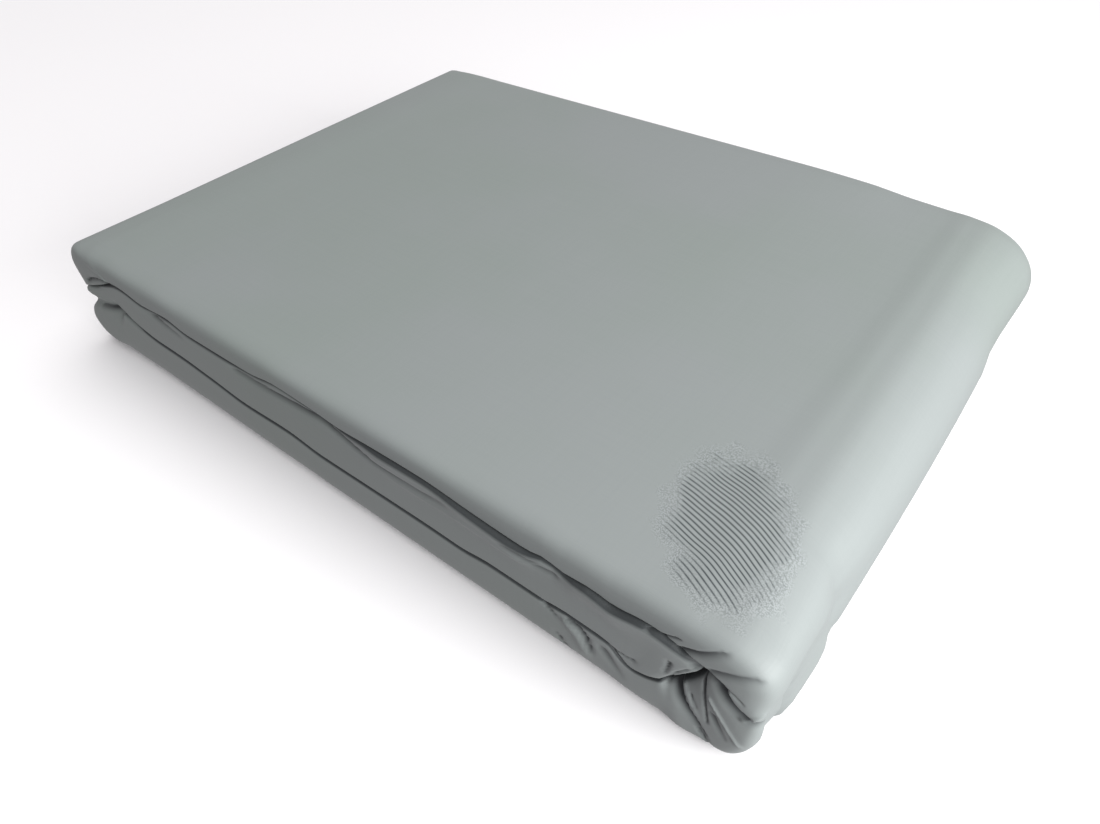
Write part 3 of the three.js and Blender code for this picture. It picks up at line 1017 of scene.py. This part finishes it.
def floor_finish(colour):
    """Pale matt floor with the faintest clouding."""
    finish = Finish("pale_floor")
    clouds = finish.noise(finish.node("ShaderNodeTexCoord", output="Object"), FLOOR_CLOUD_SCALE)
    shade = (*(part * FLOOR_CLOUD_SHADE for part in colour), 1)
    tone = finish.mix(clouds, (*colour, 1), shade)
    return finish.shade({"Base Color": tone, "Roughness": 0.9, "Specular IOR Level": 0.1})


class SheetSizes(bpy.types.PropertyGroup):
    cloth_fullness: bpy.props.FloatProperty(
        name="Cloth fullness",
        description="How full the layers of cloth lie between each other",
        default=1.0,
        min=0.6,
        max=1.2,
        subtype="FACTOR",
    )
    roll_bow: bpy.props.FloatProperty(
        name="Roll bow",
        description="How far the roll at the right end bows out in the middle",
        default=2.8 * MM,
        unit="LENGTH",
    )
    far_droop: bpy.props.FloatProperty(
        name="Far droop",
        description="How far the far top edge hangs",
        default=1.8 * MM,
        unit="LENGTH",
    )
    crease_depth: bpy.props.FloatProperty(
        name="Crease depth",
        description="Depth of the creases, as a share of the depth they were laid with",
        default=1.0,
        min=0,
        max=1.5,
        subtype="FACTOR",
    )
    flat_width: bpy.props.FloatProperty(
        name="Flat width",
        description="Width of the cloth laid out flat, across the folds of the strip",
        default=1.46,
        unit="LENGTH",
    )
    flat_length: bpy.props.FloatProperty(
        name="Flat length",
        description="Length of the cloth laid out flat, along the strip",
        default=1.0,
        unit="LENGTH",
    )


class ClothLooks(bpy.types.PropertyGroup):
    cloth_colour: bpy.props.FloatVectorProperty(
        name="Cloth",
        description="Main colour of the cloth",
        default=(0.242, 0.277, 0.261),
        subtype="COLOR",
        min=0,
        max=1,
    )
    cloud_colour: bpy.props.FloatVectorProperty(
        name="Clouding",
        description="Slightly cooler colour that clouds the cloth",
        default=(0.255, 0.281, 0.277),
        subtype="COLOR",
        min=0,
        max=1,
    )
    thread_colour: bpy.props.FloatVectorProperty(
        name="Threads",
        description="Lighter colour of slubs and raised threads",
        default=(0.32, 0.345, 0.345),
        subtype="COLOR",
        min=0,
        max=1,
    )
    patch_colour: bpy.props.FloatVectorProperty(
        name="Patch lines",
        description="Colour of the fine dark lines in the patch on the top",
        default=(0.02, 0.03, 0.035),
        subtype="COLOR",
        min=0,
        max=1,
    )
    patch_depth: bpy.props.FloatProperty(
        name="Patch strength",
        description="How strongly the lines of the patch show",
        default=1.0,
        min=0,
        max=1,
        subtype="FACTOR",
    )
    speck_colour: bpy.props.FloatVectorProperty(
        name="Speck colour",
        description="Colour of the pale specks round the patch of threads",
        default=(0.42, 0.45, 0.46),
        subtype="COLOR",
        min=0,
        max=1,
    )
    # Painted shade: the near-black colour of deep creases and seams, in place of their shadow.
    crease_shade_colour: bpy.props.FloatVectorProperty(
        name="Crease colour",
        description="Colour deep in the sharp creases",
        default=(0.02, 0.024, 0.027),
        subtype="COLOR",
        min=0,
        max=1,
    )
    # Painted shade: how strongly the creases and seams take the painted shade colour.
    crease_shade: bpy.props.FloatProperty(
        name="Crease shade",
        description="How much the deep creases take of their darker colour",
        default=0.85,
        min=0,
        max=1,
        subtype="FACTOR",
    )
    thread_pitch: bpy.props.FloatProperty(
        name="Thread pitch",
        description="Distance between threads of the weave",
        default=0.45 * MM,
        precision=5,
        unit="LENGTH",
    )
    roughness: bpy.props.FloatProperty(
        name="Roughness",
        description="Roughness of the satiny face",
        default=0.5,
        min=0,
        max=1,
        subtype="FACTOR",
    )
    sheen: bpy.props.FloatProperty(
        name="Sheen",
        description="Soft sheen along the edges of folds",
        default=0.12,
        min=0,
        max=1,
        subtype="FACTOR",
    )


class StageLooks(bpy.types.PropertyGroup):
    floor_colour: bpy.props.FloatVectorProperty(
        name="Floor",
        description="Colour of the floor",
        default=(1.0, 0.995, 1.0),
        subtype="COLOR",
        min=0,
        max=1,
    )
    camera_place: bpy.props.FloatVectorProperty(
        name="Camera",
        description="Where the camera stands",
        default=(192.32 * MM, -216.48 * MM, 231.57 * MM),
        subtype="TRANSLATION",
        unit="LENGTH",
    )
    camera_turn: bpy.props.FloatVectorProperty(
        name="Camera turn",
        description="How the camera is turned",
        default=tuple(math.radians(angle) for angle in (45.812, 2.549, 38.115)),
        subtype="EULER",
    )
    camera_lens: bpy.props.FloatProperty(
        name="Lens",
        description="Focal length of the camera in millimetres",
        default=25.32,
        unit="CAMERA",
    )
    side_light: bpy.props.FloatProperty(
        name="Side light",
        description="Power of the large light at the rolled end, in watts",
        default=10.0,
        min=0,
    )
    top_light: bpy.props.FloatProperty(
        name="Top light",
        description="Strength of the broad light overhead, in watts for each square metre",
        default=1.83,
        min=0,
    )
    room_colour: bpy.props.FloatVectorProperty(
        name="Room colour",
        description="Colour of the even light from all around",
        default=(1.0, 0.95, 0.99),
        subtype="COLOR",
        min=0,
        max=1,
    )
    room_light: bpy.props.FloatProperty(
        name="Room light",
        description="Strength of the even light from all around",
        default=0.31,
        min=0,
    )


# The stage, in metres: the light at the rolled end, the spread and turn of the light overhead, and
# the floor, which lies just below the cloth.
SIDE_LIGHT_PLACE = (0.76, -0.14, 0.22)
SIDE_LIGHT_TARGET = (0.1, 0, 0.03)
SIDE_LIGHT_SIZE = (0.7, 0.5)
TOP_LIGHT_SPREAD = math.radians(70)
TOP_LIGHT_TURN = (math.radians(-15), math.radians(4), 0)
FLOOR_HALF = 2.5
FLOOR_DROP = 0.3 * MM


def area_light(name, place, target, size, power):
    """A rectangular light that faces a point."""
    light = bpy.data.lights.new(name, "AREA")
    light.shape = "RECTANGLE"
    light.size, light.size_y = size
    light.energy = power
    lamp = bpy.data.objects.new(name, light)
    bpy.context.scene.collection.objects.link(lamp)
    lamp.location = place
    way = lamp.location.copy()
    way.x, way.y, way.z = (t - p for t, p in zip(target, place))
    lamp.rotation_euler = way.to_track_quat("-Z", "Y").to_euler()
    return lamp


class SHEET_OT_studio_stage(bpy.types.Operator):
    """Sets up the camera, the pale floor and the soft light"""

    bl_idname = "sheet.studio_stage"
    bl_label = "Studio Stage"

    def execute(self, context):
        stage = context.scene.stage_looks
        camera = bpy.data.objects.new("camera", bpy.data.cameras.new("camera"))
        context.scene.collection.objects.link(camera)
        camera.location = stage.camera_place
        camera.rotation_euler = stage.camera_turn
        camera.data.lens = stage.camera_lens
        camera.data.sensor_width = 36
        context.scene.camera = camera

        mesh = bpy.data.meshes.new("floor")
        corners = [(x * FLOOR_HALF, y * FLOOR_HALF, 0) for x, y in ((-1, -1), (1, -1), (1, 1), (-1, 1))]
        mesh.from_pydata(corners, [], [(0, 1, 2, 3)])
        mesh.materials.append(floor_finish(stage.floor_colour))
        floor = bpy.data.objects.new("floor", mesh)
        floor.location.z = -FLOOR_DROP
        context.scene.collection.objects.link(floor)
        floor.visible_diffuse = False
        floor.visible_glossy = False

        area_light(
            "side_light", SIDE_LIGHT_PLACE, SIDE_LIGHT_TARGET, SIDE_LIGHT_SIZE, stage.side_light
        )
        top = bpy.data.lights.new("top_light", "SUN")
        top.energy = stage.top_light
        top.angle = TOP_LIGHT_SPREAD
        lamp = bpy.data.objects.new("top_light", top)
        context.scene.collection.objects.link(lamp)
        lamp.rotation_euler = TOP_LIGHT_TURN
        world = bpy.data.worlds.new("room")
        world.use_nodes = True
        context.scene.world = world
        background = world.node_tree.nodes["Background"]
        background.inputs["Color"].default_value = (*stage.room_colour, 1)
        background.inputs["Strength"].default_value = stage.room_light
        context.scene.view_settings.view_transform = "Standard"
        return {"FINISHED"}


class SHEET_OT_fold_cloth(bpy.types.Operator):
    """Makes the folded cloth with its creases and its satiny finish"""

    bl_idname = "sheet.fold_cloth"
    bl_label = "Fold the Cloth"

    def execute(self, context):
        sizes = context.scene.sheet_sizes
        cloth = make_cloth(PIECE, sizes)
        cloth.data.materials.append(satin_finish(context.scene.cloth_looks))
        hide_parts("folded_sheet")
        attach(cloth, "root")
        return {"FINISHED"}


class SHEET_PT_panel(bpy.types.Panel):
    """Sizes, looks and steps of the folded sheet"""

    bl_label = "Folded Sheet"
    bl_idname = "SHEET_PT_panel"
    bl_space_type = "VIEW_3D"
    bl_region_type = "UI"
    bl_category = "Folded Sheet"

    def draw(self, context):
        scene = context.scene
        for title, group in (
            ("Sizes", scene.sheet_sizes),
            ("Cloth", scene.cloth_looks),
            ("Stage", scene.stage_looks),
        ):
            box = self.layout.box()
            box.label(text=title)
            for name in group.__annotations__:
                box.prop(group, name)
        self.layout.operator(SHEET_OT_studio_stage.bl_idname)
        self.layout.operator(SHEET_OT_fold_cloth.bl_idname)


GROUPS = {"sheet_sizes": SheetSizes, "cloth_looks": ClothLooks, "stage_looks": StageLooks}
CLASSES = (*GROUPS.values(), SHEET_OT_studio_stage, SHEET_OT_fold_cloth, SHEET_PT_panel)


def register():
    for cls in CLASSES:
        bpy.utils.register_class(cls)
    for name, group in GROUPS.items():
        setattr(bpy.types.Scene, name, bpy.props.PointerProperty(type=group))


def unregister():
    for name in GROUPS:
        delattr(bpy.types.Scene, name)
    for cls in reversed(CLASSES):
        bpy.utils.unregister_class(cls)


def main():
    register()
    bpy.ops.sheet.studio_stage()
    bpy.ops.sheet.fold_cloth()


if __name__ == "__main__":
    main()
